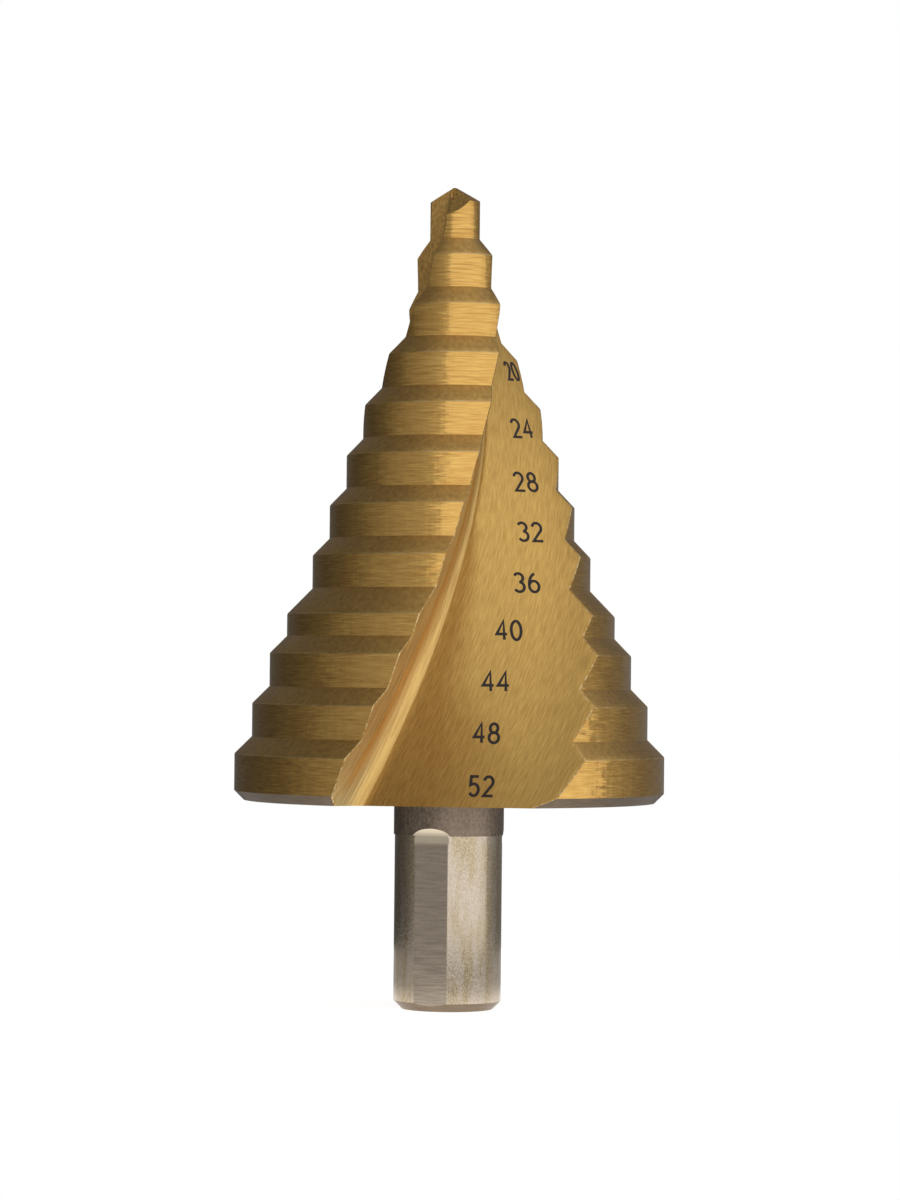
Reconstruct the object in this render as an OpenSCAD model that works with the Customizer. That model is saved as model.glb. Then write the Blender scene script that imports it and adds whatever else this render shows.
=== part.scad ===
// Two-flute step drill bit, ground from one bar.
// Origin at the centre of the shank's end face, +Z up the axis to the point.
// The two cutting corners of the widest step lie on the Y axis.

/* [Steps] */
// Diameter of the first step, at the point
tip_d = 6; // [5:0.5:8]
// Number of steps
step_count = 12; // [11:1:13]
// Growth in diameter from one step to the next
step_rise = 4; // [3:0.5:5]
// Step that grows more than the others, counted from the point
wide_step = 9; // [3:1:11]
// Extra growth in diameter at that step
wide_rise = 2; // [0:0.5:3]
// Length that the same step loses against the others
wide_trim = 0.3; // [0:0.05:0.6]
// Length of one step along the axis
step_pitch = 5.86; // [5.5:0.1:7]
// Length of the first step, with the point
tip_h = 6.14; // [5.5:0.1:8]
// Angle between the face that leads into a step and the axis
lead_angle = 45; // [40:1:50]
// Length of the rim under the last step
rim_h = 1.5; // [1.3:0.1:4]
// Chamfer at the foot of the rim
rim_chamfer = 1.1; // [0.4:0.1:1.2]

/* [Relief] */
// Radial drop a quarter turn behind the edge, as a share of the radius, first step
relief_tip = 0.055; // [0.01:0.005:0.07]
// The same share at the last step
relief_rim = 0.04; // [0.01:0.005:0.06]

/* [Flutes] */
// Length along the axis in which the flutes would make one full turn
flute_lead = 409; // [330:1:600]
// Extra turn that the flutes gain by the point, degrees
tip_twist = 37.5; // [0:0.5:50]
// Distance of the rake face from the axis plane
rake_offset = 2.6; // [1.5:0.1:3]
// The same distance below the point, half the web
web_half = 1; // [0.5:0.05:1.2]
// Length over which the web thins to that
web_run = 13; // [10:0.5:20]
// Depth of the flute at the rim
flute_depth = 4; // [3:0.1:6]
// Height above the rim's foot where the flute floor comes down to the web
floor_run = 56; // [50:0.5:60]
// Tilt of the wide flute face, from square to the rake face
face_angle = 28; // [15:1:32]
// Radius at the root of the rake face, at the rim
root_r = 5.7; // [2:0.1:7]
// Arc that this radius turns through before the wide face begins
root_arc = 40; // [20:1:50]

/* [Point] */
// Angle over the two lips
point_angle = 122; // [110:1:140]
// Slope of the flanks behind the lips, degrees
flank_angle = 15; // [10:1:25]
// Distance of the rake face from the axis plane at the chisel edge
chisel_half = 0.2; // [0.15:0.05:0.5]
// Height over which the web is ground down to that
notch_h = 2; // [1:0.1:2.5]
// Slope of the notches that clear the heels behind the flanks, degrees
notch_angle = 48; // [40:1:55]
// Depth of the notches below the point, at the axis
notch_drop = 0.25; // [0.2:0.05:0.6]

/* [Shank] */
// Diameter of the shank
shank_d = 12.6; // [10:0.1:14]
// Length of the shank below the collar
shank_h = 20.3; // [16:0.1:30]
// Diameter of the collar under the cutting body
collar_d = 12.85; // [12.6:0.05:16]
// Length of the collar
collar_h = 3.9; // [2.5:0.1:6]
// Chamfer at the end of the shank
end_chamfer = 1; // [0.3:0.1:1.5]
// Number of clamping flats
flat_count = 3; // [3:1:4]
// Width of one flat
flat_w = 4; // [2:0.1:5]
// Turn of the flats about the axis
flat_turn = -82.9; // [-180:0.1:180]
// Distance from the collar down to the middle of a flat's run-out
runout_drop = 0.7; // [0.5:0.1:2]
// Radius of the run-out at the upper end of a flat
runout_r = 1.6; // [1:0.1:3]
// Depth of the run-out below its flat
runout_depth = 0.25; // [0:0.05:0.4]

/* [Hidden] */

$fn = 144;
overlap = 0.3;
reach = 4;
layer_h = 1.5;
rake_cuts = 3;
arc_cuts = 5;
face_cuts = 6;
first_edge = -90;
tip_twist_power = 4;
notch_layers = 2;
notch_gap = 0.05;
floor_blend = 1;

cutter_h = tip_h + (step_count - 1) * step_pitch - wide_trim + rim_h;
rim_z = shank_h + collar_h;
tip_z = rim_z + cutter_h;
tip_r = tip_d / 2;
rim_r = step_r(step_count);
far = rim_r + reach;
notch_u = cutter_h - notch_h;
layers = ceil((notch_u + reach) / layer_h);
flat_dist = sqrt(pow(shank_d / 2, 2) - pow(flat_w / 2, 2));
flank_fall = 1 / tan(point_angle / 2);
flank_back = tan(flank_angle);

// Radius of a step, counted from 1 at the point
function step_r(i) = (tip_d + (i - 1) * step_rise + (i >= wide_step ? wide_rise : 0)) / 2;

// Height of the foot of a step's land
function foot_z(i) = tip_z - tip_h - (i - 1) * step_pitch + (i >= wide_step ? wide_trim : 0);

// Height of the cutting corner at the top of a step's land
function corner_z(i) = i == 1
    ? tip_z - tip_r * flank_fall
    : foot_z(i - 1) - (step_r(i) - step_r(i - 1)) / tan(lead_angle);

// Radius of the plain cone that the steps follow, at height u above the rim's foot
function cone_r(u) = rim_r + (tip_r - rim_r) * u / cutter_h;

// Relief of a step a quarter turn behind its edge
function relief(i) = step_r(i)
    * (relief_tip + (relief_rim - relief_tip) * (i - 1) / (step_count - 1));

// Distance of the rake face from the axis plane, with the web thinned and notched
function rake_t(u) = u < notch_u
    ? web_half + (rake_offset - web_half) * min(1, (notch_u - u) / web_run)
    : web_half + (chisel_half - web_half) * min(1, (u - notch_u) / notch_h);

// Turn of the flute at height u, with the edge of the last step on the -Y axis
function turn(u) = 360 * u / flute_lead
    + tip_twist * pow(max(0, u) / cutter_h, tip_twist_power);
rim_corner_u = corner_z(step_count) - rim_z;
turn_start = first_edge - turn(rim_corner_u) - asin(rake_t(rim_corner_u) / rim_r);
function flute_dir(u) = turn_start + turn(u);

// Direction of the cutting edge at a step's corner
function edge_dir(i) = flute_dir(corner_z(i) - rim_z)
    + asin(rake_t(corner_z(i) - rim_z) / step_r(i));

// Distance of the flute floor from the axis, measured along the rake face
function floor_n(u) = let (
    straight = (rim_r - flute_depth) * (1 - u / floor_run)
) (straight + sqrt(pow(straight, 2) + pow(floor_blend, 2))) / 2;

// Section of the flute as [along the rake face, across it] pairs
function flute_section(u) = let (
    t = rake_t(u),
    r = root_r * max(cone_r(u), tip_r) / rim_r,
    crease_t = t + r * (1 - cos(root_arc)),
    crease_n = floor_n(u) - (crease_t - t) * tan(face_angle),
    start_n = crease_n + r * sin(root_arc),
    far_n = crease_n - (far - crease_t) * tan(face_angle)
) concat(
    [for (i = [0 : rake_cuts - 1]) [far + (start_n - far) * i / rake_cuts, t]],
    [for (i = [0 : arc_cuts]) let (a = root_arc * i / arc_cuts)
        [start_n - r * sin(a), t + r * (1 - cos(a))]],
    [for (i = [1 : face_cuts]) let (s = i / face_cuts)
        [crease_n + (far_n - crease_n) * s, crease_t + (far - crease_t) * s]],
    [[far, far]]
);

// The section turned into place at its height
function flute_layer(u) = let (a = flute_dir(u)) [for (p = flute_section(u))
    [p[0] * cos(a) - p[1] * sin(a), p[0] * sin(a) + p[1] * cos(a), rim_z + u]];

// Half of a step: its profile turned on an axis that stands off the drill's own
module step_turning(i) {
    r = sqrt(pow(step_r(i), 2) + pow(relief(i), 2));
    top_r = i == 1 ? r : r - (step_r(i) - step_r(i - 1)) - overlap;
    top_z = i == 1 ? tip_z : foot_z(i - 1) + overlap / tan(lead_angle);
    last = i == step_count;
    foot = last ? rim_z : foot_z(i) - overlap;
    foot_cut = last ? rim_chamfer : 0;
    translate([0, relief(i), 0])
        rotate_extrude()
            polygon([
                [0, foot],
                [r - foot_cut, foot],
                [r, foot + foot_cut],
                [r, i == 1 ? top_z : corner_z(i)],
                [top_r, top_z],
                [0, top_z]
            ]);
}

// A step with both lands falling away behind their cutting edges
module relieved_step(i) {
    rotate([0, 0, edge_dir(i)])
        intersection() {
            step_turning(i);
            rotate([0, 0, 180])
                step_turning(i);
        }
}

// One of the two flutes, as the solid that the wheel takes away
module flute_cutter() {
    n = len(flute_section(0));
    levels = concat(
        [for (j = [0 : layers]) (notch_u + reach) * j / layers - reach],
        [for (j = [1 : notch_layers]) notch_u + notch_h * j / notch_layers],
        [cutter_h + reach]
    );
    top = len(levels) - 1;
    points = [for (u = levels) each flute_layer(u)];
    sides = [for (j = [0 : top - 1], i = [0 : n - 1]) let (
            a = j * n + i,
            b = j * n + (i + 1) % n
        ) each [[a, b, b + n], [a, b + n, a + n]]];
    polyhedron(points, concat(
        [[for (i = [n - 1 : -1 : 0]) i]],
        sides,
        [[for (i = [0 : n - 1]) top * n + i]]
    ));
}

// One flank of the point, as the solid above it
module flank_cutter() {
    slope = sqrt(pow(flank_fall, 2) + pow(flank_back, 2));
    translate([0, 0, tip_z])
        rotate([0, 0, edge_dir(1) - atan2(flank_back, flank_fall)])
            rotate([0, atan(slope), 0])
                translate([-far, -far, 0])
                    cube([2 * far, 2 * far, far]);
}

// The notch behind one flank, as far in as the other lip's rake face
module notch_cutter() {
    translate([0, 0, tip_z])
        rotate([0, 0, flute_dir(cutter_h)])
            intersection() {
                translate([0, 0, -notch_drop])
                    rotate([notch_angle, 0, 0])
                        translate([-far, -far, 0])
                            cube([2 * far, 2 * far, far]);
                translate([0, -chisel_half - notch_gap, 0])
                    rotate([-atan((web_half - chisel_half) / notch_h), 0, 0])
                        translate([-far, -far, -far])
                            cube([2 * far, far, 2 * far]);
            }
}

// The cutting body: stepped lands, two flutes and the point
module cutting_body() {
    color("goldenrod")
        difference() {
            union() {
                for (i = [1 : step_count])
                    relieved_step(i);
            }
            for (side = [0, 180])
                rotate([0, 0, side]) {
                    flute_cutter();
                    flank_cutter();
                    notch_cutter();
                }
        }
}

// One clamping flat with the run-out of its wheel
module flat_cutter() {
    flat_top = shank_h - runout_drop;
    translate([flat_dist, -shank_d / 2, -overlap])
        cube([shank_d, shank_d, flat_top + overlap]);
    translate([flat_dist - runout_depth + runout_r, shank_d / 2, flat_top])
        rotate([90, 0, 0])
            cylinder(h = shank_d, r = runout_r);
}

// The shank with its collar, end chamfer and flats
module shank() {
    color("rosybrown")
        difference() {
            rotate_extrude()
                polygon([
                    [0, 0],
                    [shank_d / 2 - end_chamfer, 0],
                    [shank_d / 2, end_chamfer],
                    [shank_d / 2, shank_h],
                    [collar_d / 2, shank_h],
                    [collar_d / 2, rim_z + overlap],
                    [0, rim_z + overlap]
                ]);
            for (i = [0 : flat_count - 1])
                rotate([0, 0, flat_turn + i * 360 / flat_count])
                    flat_cutter();
        }
}

module step_drill() {
    cutting_body();
    shank();
}

step_drill();
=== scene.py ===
"""Looks of a two-flute step drill bit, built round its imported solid.

Lengths are in millimetres and angles in degrees until a mesh or the camera is made. Those of
the studio and the camera's clip distances are in metres. The form's values and names are those
of the part's own source, save the run-out of the flats, the eased crease and the broken
corners, which are finer here.
"""

import math

import bpy
import numpy as np
from mathutils import Matrix, Vector


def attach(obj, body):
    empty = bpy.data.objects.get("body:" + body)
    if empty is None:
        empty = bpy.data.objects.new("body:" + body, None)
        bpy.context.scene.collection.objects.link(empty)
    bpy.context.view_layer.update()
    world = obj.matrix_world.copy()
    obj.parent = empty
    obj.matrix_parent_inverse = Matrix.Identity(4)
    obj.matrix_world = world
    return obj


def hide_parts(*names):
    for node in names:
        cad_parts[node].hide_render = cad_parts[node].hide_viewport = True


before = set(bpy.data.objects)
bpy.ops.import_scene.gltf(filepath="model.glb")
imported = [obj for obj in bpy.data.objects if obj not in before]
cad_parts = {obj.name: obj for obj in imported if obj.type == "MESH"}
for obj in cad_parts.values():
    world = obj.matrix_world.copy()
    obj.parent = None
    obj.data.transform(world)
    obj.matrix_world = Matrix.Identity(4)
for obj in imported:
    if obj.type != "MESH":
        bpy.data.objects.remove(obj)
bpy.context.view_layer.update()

MM = 0.001

# Steps
TIP_D = 6.0
STEP_COUNT = 12
STEP_RISE = 4.0
WIDE_STEP = 9
WIDE_RISE = 2.0
WIDE_TRIM = 0.3
STEP_PITCH = 5.86
TIP_H = 6.14
LEAD_ANGLE = 45.0
RIM_H = 1.5
RIM_CHAMFER = 1.1

# Relief
RELIEF_TIP = 0.055
RELIEF_RIM = 0.04

# Flutes
FLUTE_LEAD = 409.0
TIP_TWIST = 37.5
TIP_TWIST_POWER = 4
RAKE_OFFSET = 2.6
WEB_HALF = 1.0
WEB_RUN = 13.0
FLUTE_DEPTH = 4.0
FLOOR_RUN = 56.0
FLOOR_BLEND = 1.0
FACE_ANGLE = 28.0
ROOT_R = 5.7
ROOT_ARC = 40.0
FIRST_EDGE = -90.0

# Point
POINT_ANGLE = 122.0
FLANK_ANGLE = 15.0
CHISEL_HALF = 0.2
NOTCH_H = 2.0
NOTCH_ANGLE = 48.0
NOTCH_DROP = 0.25
NOTCH_GAP = 0.05

# Shank
SHANK_D = 12.6
SHANK_H = 20.3
COLLAR_D = 12.85
COLLAR_H = 3.9
END_CHAMFER = 1.0
FLAT_COUNT = 3
FLAT_W = 4.0
FLAT_TURN = -82.9
RUNOUT_DROP = 0.6
RUNOUT_R = 2.4
RUNOUT_DEPTH = 0.05

CUTTER_H = TIP_H + (STEP_COUNT - 1) * STEP_PITCH - WIDE_TRIM + RIM_H
NOTCH_U = CUTTER_H - NOTCH_H
RIM_Z = SHANK_H + COLLAR_H
TIP_Z = RIM_Z + CUTTER_H
FLAT_DIST = math.sqrt((SHANK_D / 2) ** 2 - (FLAT_W / 2) ** 2)
FLANK_FALL = 1 / math.tan(math.radians(POINT_ANGLE / 2))
FLANK_BACK = math.tan(math.radians(FLANK_ANGLE))

# How finely the mesh follows the form: samples round one side, the height of a row, and how
# the wide face's samples crowd towards its crease
RAKE_SAMPLES = 14
ROOT_SAMPLES = 16
FACE_SAMPLES = 44
LAND_SAMPLES = 88
SIDE_SAMPLES = RAKE_SAMPLES + ROOT_SAMPLES + FACE_SAMPLES + LAND_SAMPLES
RING_SAMPLES = 2 * SIDE_SAMPLES
ROW_H = 0.5
FACE_CROWDING = 1.35

# The searches for a row's edge and heel: their rounds, and how far past the step the second looks
EDGE_ROUNDS = 6
HEEL_ROUNDS = 50
HEEL_ROOM = 1.0

# Fine breaks: the widths of edge, heel and corner, and the crease's easing as a share of the
# root's radius
EDGE_WIDTH = 0.1
HEEL_WIDTH = 0.1
CORNER_BREAK = 0.07
CREASE_EASE = 0.17

# Materials' places in the body's mesh
LAND, LEAD, CORNER, FACE, ROOT, RAKE, FLANK, EDGE, RIM = range(9)
COLLAR, SHANK, FLAT, RUNOUT = range(9, 13)


def sin(degrees):
    return np.sin(np.radians(degrees))


def cos(degrees):
    return np.cos(np.radians(degrees))


def tan(degrees):
    return np.tan(np.radians(degrees))


def step_r(i):
    """Radius of a step, counted from 1 at the point."""
    wide = WIDE_RISE if i >= WIDE_STEP else 0.0
    return (TIP_D + (i - 1) * STEP_RISE + wide) / 2


def foot_z(i):
    """Height of the foot of a step's land."""
    trim = WIDE_TRIM if i >= WIDE_STEP else 0.0
    return TIP_Z - TIP_H - (i - 1) * STEP_PITCH + trim


def corner_z(i):
    """Height of the cutting corner at the top of a step's land."""
    if i == 1:
        return TIP_Z - TIP_D / 2 * FLANK_FALL
    return foot_z(i - 1) - (step_r(i) - step_r(i - 1)) / tan(LEAD_ANGLE)


def relief(i):
    """Radial drop of a step a quarter turn behind its edge."""
    share = (i - 1) / (STEP_COUNT - 1)
    return step_r(i) * (RELIEF_TIP + (RELIEF_RIM - RELIEF_TIP) * share)


def rake_t(u):
    """Distance of the rake face from the axis plane at height u over the rim's foot."""
    thinning = np.clip((NOTCH_U - u) / WEB_RUN, 0, 1)
    notch = np.clip((u - NOTCH_U) / NOTCH_H, 0, 1)
    return WEB_HALF + (RAKE_OFFSET - WEB_HALF) * thinning + (CHISEL_HALF - WEB_HALF) * notch


def turn(u):
    """Turn of the flute at height u."""
    extra = TIP_TWIST * (np.maximum(0, u) / CUTTER_H) ** TIP_TWIST_POWER
    return 360 * u / FLUTE_LEAD + extra


RIM_R = step_r(STEP_COUNT)
RIM_CORNER_U = corner_z(STEP_COUNT) - RIM_Z
TURN_START = (
    FIRST_EDGE
    - turn(RIM_CORNER_U)
    - math.degrees(math.asin(rake_t(RIM_CORNER_U) / RIM_R))
)


def flute_dir(u):
    """Direction along the rake face at height u."""
    return TURN_START + turn(u)


def edge_dir(i):
    """Direction of the cutting edge at a step's corner."""
    u = corner_z(i) - RIM_Z
    return flute_dir(u) + math.degrees(math.asin(rake_t(u) / step_r(i)))


def cone_r(u):
    """Radius of the plain cone that the steps follow."""
    return RIM_R + (TIP_D / 2 - RIM_R) * u / CUTTER_H


def floor_n(u):
    """Distance of the flute's floor from the axis, along the rake face."""
    straight = (RIM_R - FLUTE_DEPTH) * (1 - u / FLOOR_RUN)
    return (straight + np.sqrt(straight**2 + FLOOR_BLEND**2)) / 2


def root(u):
    """The root arc at height u: its radius, where it starts, and the crease where it ends."""
    r = ROOT_R * np.maximum(cone_r(u), TIP_D / 2) / RIM_R
    crease_t = rake_t(u) + r * (1 - cos(ROOT_ARC))
    crease_n = floor_n(u) - (crease_t - rake_t(u)) * tan(FACE_ANGLE)
    return r, crease_n + r * sin(ROOT_ARC), crease_n, crease_t


class Row:
    """A level of the cutting body: its height at the edges and the lands that it lies on."""

    def __init__(self, z, low, high=None, share=0.0, cut=0.0):
        self.z = z
        self.low = low
        self.high = high or low
        self.share = share
        self.cut = cut

    def step_radius(self, i, direction):
        """Radius of a relieved land, which falls away behind each of its two edges."""
        e = relief(i)
        behind = direction - edge_dir(i)
        r = math.hypot(step_r(i), e) - self.cut
        return np.sqrt(r**2 - (e * cos(behind)) ** 2) - e * np.abs(sin(behind))

    def radius(self, direction):
        low = self.step_radius(self.low, direction)
        high = self.step_radius(self.high, direction)
        return low + (high - low) * self.share

    def edge(self):
        """The cutting edge at this level: its distance along the rake face, its direction."""
        u = self.z - RIM_Z
        t = rake_t(u)
        n = step_r(self.low)
        for _ in range(EDGE_ROUNDS):
            direction = flute_dir(u) + np.degrees(np.arctan2(t, n))
            n = np.sqrt(self.radius(direction) ** 2 - t**2)
        return n, direction

    def heel(self):
        """The heel of the flute's wide face: its distance across, its direction."""
        u = self.z - RIM_Z
        _, _, crease_n, crease_t = root(u)
        low, high = crease_t, step_r(self.low) + HEEL_ROOM
        for _ in range(HEEL_ROUNDS):
            t = (low + high) / 2
            n = crease_n - (t - crease_t) * tan(FACE_ANGLE)
            direction = flute_dir(u) + np.degrees(np.arctan2(t, n))
            if np.hypot(n, t) < self.radius(direction):
                low = t
            else:
                high = t
        return t, direction


def eased_crease(n, t, away, u):
    """Rounds the crease between the root arc and the wide face, as the real flute's is."""
    r, start_n, crease_n, crease_t = root(u)
    reach = CREASE_EASE * r
    before = ROOT_ARC - math.degrees(CREASE_EASE)
    first_n, first_t = start_n - r * sin(before), rake_t(u) + r * (1 - cos(before))
    last_n = crease_n - reach * sin(FACE_ANGLE)
    last_t = crease_t + reach * cos(FACE_ANGLE)
    share = np.clip((away + reach) / (2 * reach), 0, 1)
    near = (share > 0) & (share < 1)
    first, middle, last = (1 - share) ** 2, 2 * share * (1 - share), share**2
    n = np.where(near, first * first_n + middle * crease_n + last * last_n, n)
    t = np.where(near, first * first_t + middle * crease_t + last * last_t, t)
    return n, t


def side_points(row, z=None):
    """One side of the outline at a row, from the cutting edge round the flute to the next edge.

    z gives each sample its own height, for the rows that the point's flanks cut.
    """
    edge_n, edge_direction = row.edge()
    heel_t, heel_direction = row.heel()
    z = np.full(SIDE_SAMPLES, row.z) if z is None else z
    flute_samples = RAKE_SAMPLES + ROOT_SAMPLES + FACE_SAMPLES
    u = z[:flute_samples] - RIM_Z
    r, start_n, crease_n, crease_t = root(u)
    n = np.empty(flute_samples)
    t = np.empty(flute_samples)

    rake = slice(0, RAKE_SAMPLES)
    share = np.arange(RAKE_SAMPLES) / RAKE_SAMPLES
    first_n = edge_n - EDGE_WIDTH
    n[rake] = first_n + (start_n[rake] - first_n) * share
    t[rake] = rake_t(u[rake])

    arc = slice(RAKE_SAMPLES, RAKE_SAMPLES + ROOT_SAMPLES)
    angle = ROOT_ARC * np.arange(ROOT_SAMPLES) / ROOT_SAMPLES
    n[arc] = start_n[arc] - r[arc] * sin(angle)
    t[arc] = rake_t(u[arc]) + r[arc] * (1 - cos(angle))

    wide = slice(RAKE_SAMPLES + ROOT_SAMPLES, flute_samples)
    share = (np.arange(FACE_SAMPLES) / (FACE_SAMPLES - 1)) ** FACE_CROWDING
    last_t = heel_t - HEEL_WIDTH
    t[wide] = crease_t[wide] + (last_t - crease_t[wide]) * share
    n[wide] = crease_n[wide] - (t[wide] - crease_t[wide]) * tan(FACE_ANGLE)

    away = (t - crease_t) / cos(FACE_ANGLE)
    away[arc] = -r[arc] * np.radians(ROOT_ARC - angle)
    away[rake] = -np.inf
    n, t = eased_crease(n, t, away, u)

    d = flute_dir(u)
    flute = np.stack([n * cos(d) - t * sin(d), n * sin(d) + t * cos(d), z[:flute_samples]], 1)

    per_mm = math.degrees(1 / step_r(row.low))
    share = np.arange(LAND_SAMPLES) / (LAND_SAMPLES - 1)
    first = heel_direction + HEEL_WIDTH * per_mm
    last = edge_direction + 180 - EDGE_WIDTH * per_mm
    direction = first + (last - first) * share
    land_r = row.radius(direction)
    land_z = z[flute_samples:]
    land = np.stack([land_r * cos(direction), land_r * sin(direction), land_z], 1)
    return np.concatenate([flute, land])


def both_sides(points):
    """A side's samples and the same turned half round."""
    return np.concatenate([points, points * [-1, -1, 1]])


def body_rows():
    """The rows of the cutting body from the point zone's foot down to the rim, with their kinds."""
    rows, kinds = [], []

    def add(row, kind):
        rows.append(row)
        kinds.append(kind)

    def spread(high, low):
        count = max(1, round((high - low) / ROW_H))
        return [high + (low - high) * j / count for j in range(1, count + 1)]

    for z in spread(POINT_FOOT_Z, foot_z(1)):
        add(Row(z, 1), LAND)
    for i in range(2, STEP_COUNT + 1):
        top, corner = foot_z(i - 1), corner_z(i)
        for z in spread(top, corner + CORNER_BREAK):
            add(Row(z, i, i - 1, (z - corner) / (top - corner)), LEAD)
        last = i == STEP_COUNT
        foot = RIM_Z + RIM_CHAMFER if last else foot_z(i)
        add(Row(corner - CORNER_BREAK, i), CORNER)
        for z in spread(corner - CORNER_BREAK, foot):
            add(Row(z, i), LAND)
    add(Row(RIM_Z + RIM_CHAMFER / 2, STEP_COUNT, cut=RIM_CHAMFER / 2), RIM)
    add(Row(RIM_Z, STEP_COUNT, cut=RIM_CHAMFER), RIM)
    return rows, kinds


# The point: rows from its foot up to the flanks, which meet in the chisel edge, and the search
# for their outline, which starts at a guessed drop under the tip
POINT_FOOT_Z = 91.9
POINT_ROWS = 10
POINT_ROUNDS = 120
GUESSED_DROP = 1.0
CAP_SHARES = (0.03, *np.linspace(0.08, 0.96, 18))
FLANK_SLOPE = math.hypot(FLANK_FALL, FLANK_BACK)
FLANK_DIR = edge_dir(1) - math.degrees(math.atan2(FLANK_BACK, FLANK_FALL))
NOTCH_DIR = flute_dir(CUTTER_H)
NOTCH_WALL = (WEB_HALF - CHISEL_HALF) / NOTCH_H


def point_z(x, y):
    """Height of the point's two flanks and of the notches behind them."""
    flank = -FLANK_SLOPE * np.abs(x * cos(FLANK_DIR) + y * sin(FLANK_DIR))
    behind = np.abs(y * cos(NOTCH_DIR) - x * sin(NOTCH_DIR))
    floor = -NOTCH_DROP - behind * tan(NOTCH_ANGLE)
    wall = -np.maximum(0, behind - CHISEL_HALF - NOTCH_GAP) / NOTCH_WALL
    notch = np.where(wall < 0, np.maximum(floor, wall), 0)
    return TIP_Z + np.minimum(flank, notch)


def point_rings():
    """Rings of the point zone, from the flanks' outline down to its foot."""
    row = Row(POINT_FOOT_Z, 1)
    top = np.full(SIDE_SAMPLES, TIP_Z - GUESSED_DROP)
    for _ in range(POINT_ROUNDS):
        points = side_points(row, top)
        top = point_z(points[:, 0], points[:, 1])
    rings = []
    for j in range(POINT_ROWS + 1):
        share = j / POINT_ROWS
        points = side_points(row, top + (POINT_FOOT_Z - top) * share)
        if j == 0:
            points = with_chisel_end(points)
        rings.append(both_sides(points))
    return rings


def with_chisel_end(points):
    """Moves the sample nearest to the ridge between the flanks onto it."""
    side = points[:, 0] * cos(FLANK_DIR) + points[:, 1] * sin(FLANK_DIR)
    cross = np.where(np.diff(np.sign(side)) != 0)[0][0]
    share = side[cross] / (side[cross] - side[cross + 1])
    x, y, _ = points[cross] + (points[cross + 1] - points[cross]) * share
    points = points.copy()
    points[cross if share < 0.5 else cross + 1] = [x, y, TIP_Z]
    return points


def cap_rings(outline):
    """Rings on the flanks, from near the axis out to their outline."""
    rings = []
    for share in CAP_SHARES:
        x, y = outline[:, 0] * share, outline[:, 1] * share
        rings.append(np.stack([x, y, point_z(x, y)], 1))
    return rings


# The shank's samples go round with its flats, so that their edges stay sharp
FLAT_SAMPLES = 36
ROUND_SAMPLES = RING_SAMPLES // FLAT_COUNT - FLAT_SAMPLES
LEAST_HALF_FLAT = 2.0
RUNOUT_Z = SHANK_H - RUNOUT_DROP
RUNOUT_TOP = RUNOUT_Z + math.sqrt(
    RUNOUT_R**2 - (FLAT_DIST - RUNOUT_DEPTH + RUNOUT_R - COLLAR_D / 2) ** 2
)
RUNOUT_FOOT = RUNOUT_Z - math.sqrt(RUNOUT_R**2 - (RUNOUT_R - RUNOUT_DEPTH) ** 2)
COLLAR_ROWS = 6
BEND_ROWS = 7
BEND_CROWDING = 1.6
RUNOUT_ROWS = 12
SHANK_ROWS = 34
CHAMFER_ROWS = 3
END_SHARES = (0.8, 0.55, 0.3)


def flat_distance(z):
    """Distance from the axis of a flat, or of the scoop that it runs out in at its upper end."""
    off = z - RUNOUT_Z
    if abs(off) > RUNOUT_R:
        return math.inf if off > 0 else FLAT_DIST
    scoop = FLAT_DIST - RUNOUT_DEPTH + RUNOUT_R - math.sqrt(RUNOUT_R**2 - off**2)
    return scoop if off > 0 else min(FLAT_DIST, scoop)


def shank_ring(z, r):
    """A ring of the shank at height z, where its round part has radius r."""
    distance = flat_distance(z)
    half = math.degrees(math.acos(min(1, distance / r)))
    half = max(LEAST_HALF_FLAT, half)
    pitch = 360 / FLAT_COUNT
    across = np.linspace(-half, half, FLAT_SAMPLES)
    around = np.linspace(half, pitch - half, ROUND_SAMPLES + 2)[1:-1]
    points = []
    for k in range(FLAT_COUNT):
        middle = FLAT_TURN + k * pitch
        flat_r = np.minimum(r, distance / cos(across))
        for angle, radius in ((across, flat_r), (around, np.full(len(around), r))):
            a = middle + angle
            points.append(np.stack([radius * cos(a), radius * sin(a), np.full(len(a), z)], 1))
    ring = np.concatenate(points)
    return np.roll(ring, -ring_start(), 0)


def ring_start():
    """The shank sample that lies under the first sample of the cutting body."""
    x, y, _ = BASE_RING[0]
    first = math.degrees(math.atan2(y, x)) - FLAT_TURN + LEAST_HALF_FLAT
    return round((first % 360) / 360 * RING_SAMPLES)


def spaced(first, last, count):
    """Evenly spaced values from first to last, without the first."""
    return np.linspace(first, last, count + 1)[1:]


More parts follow.
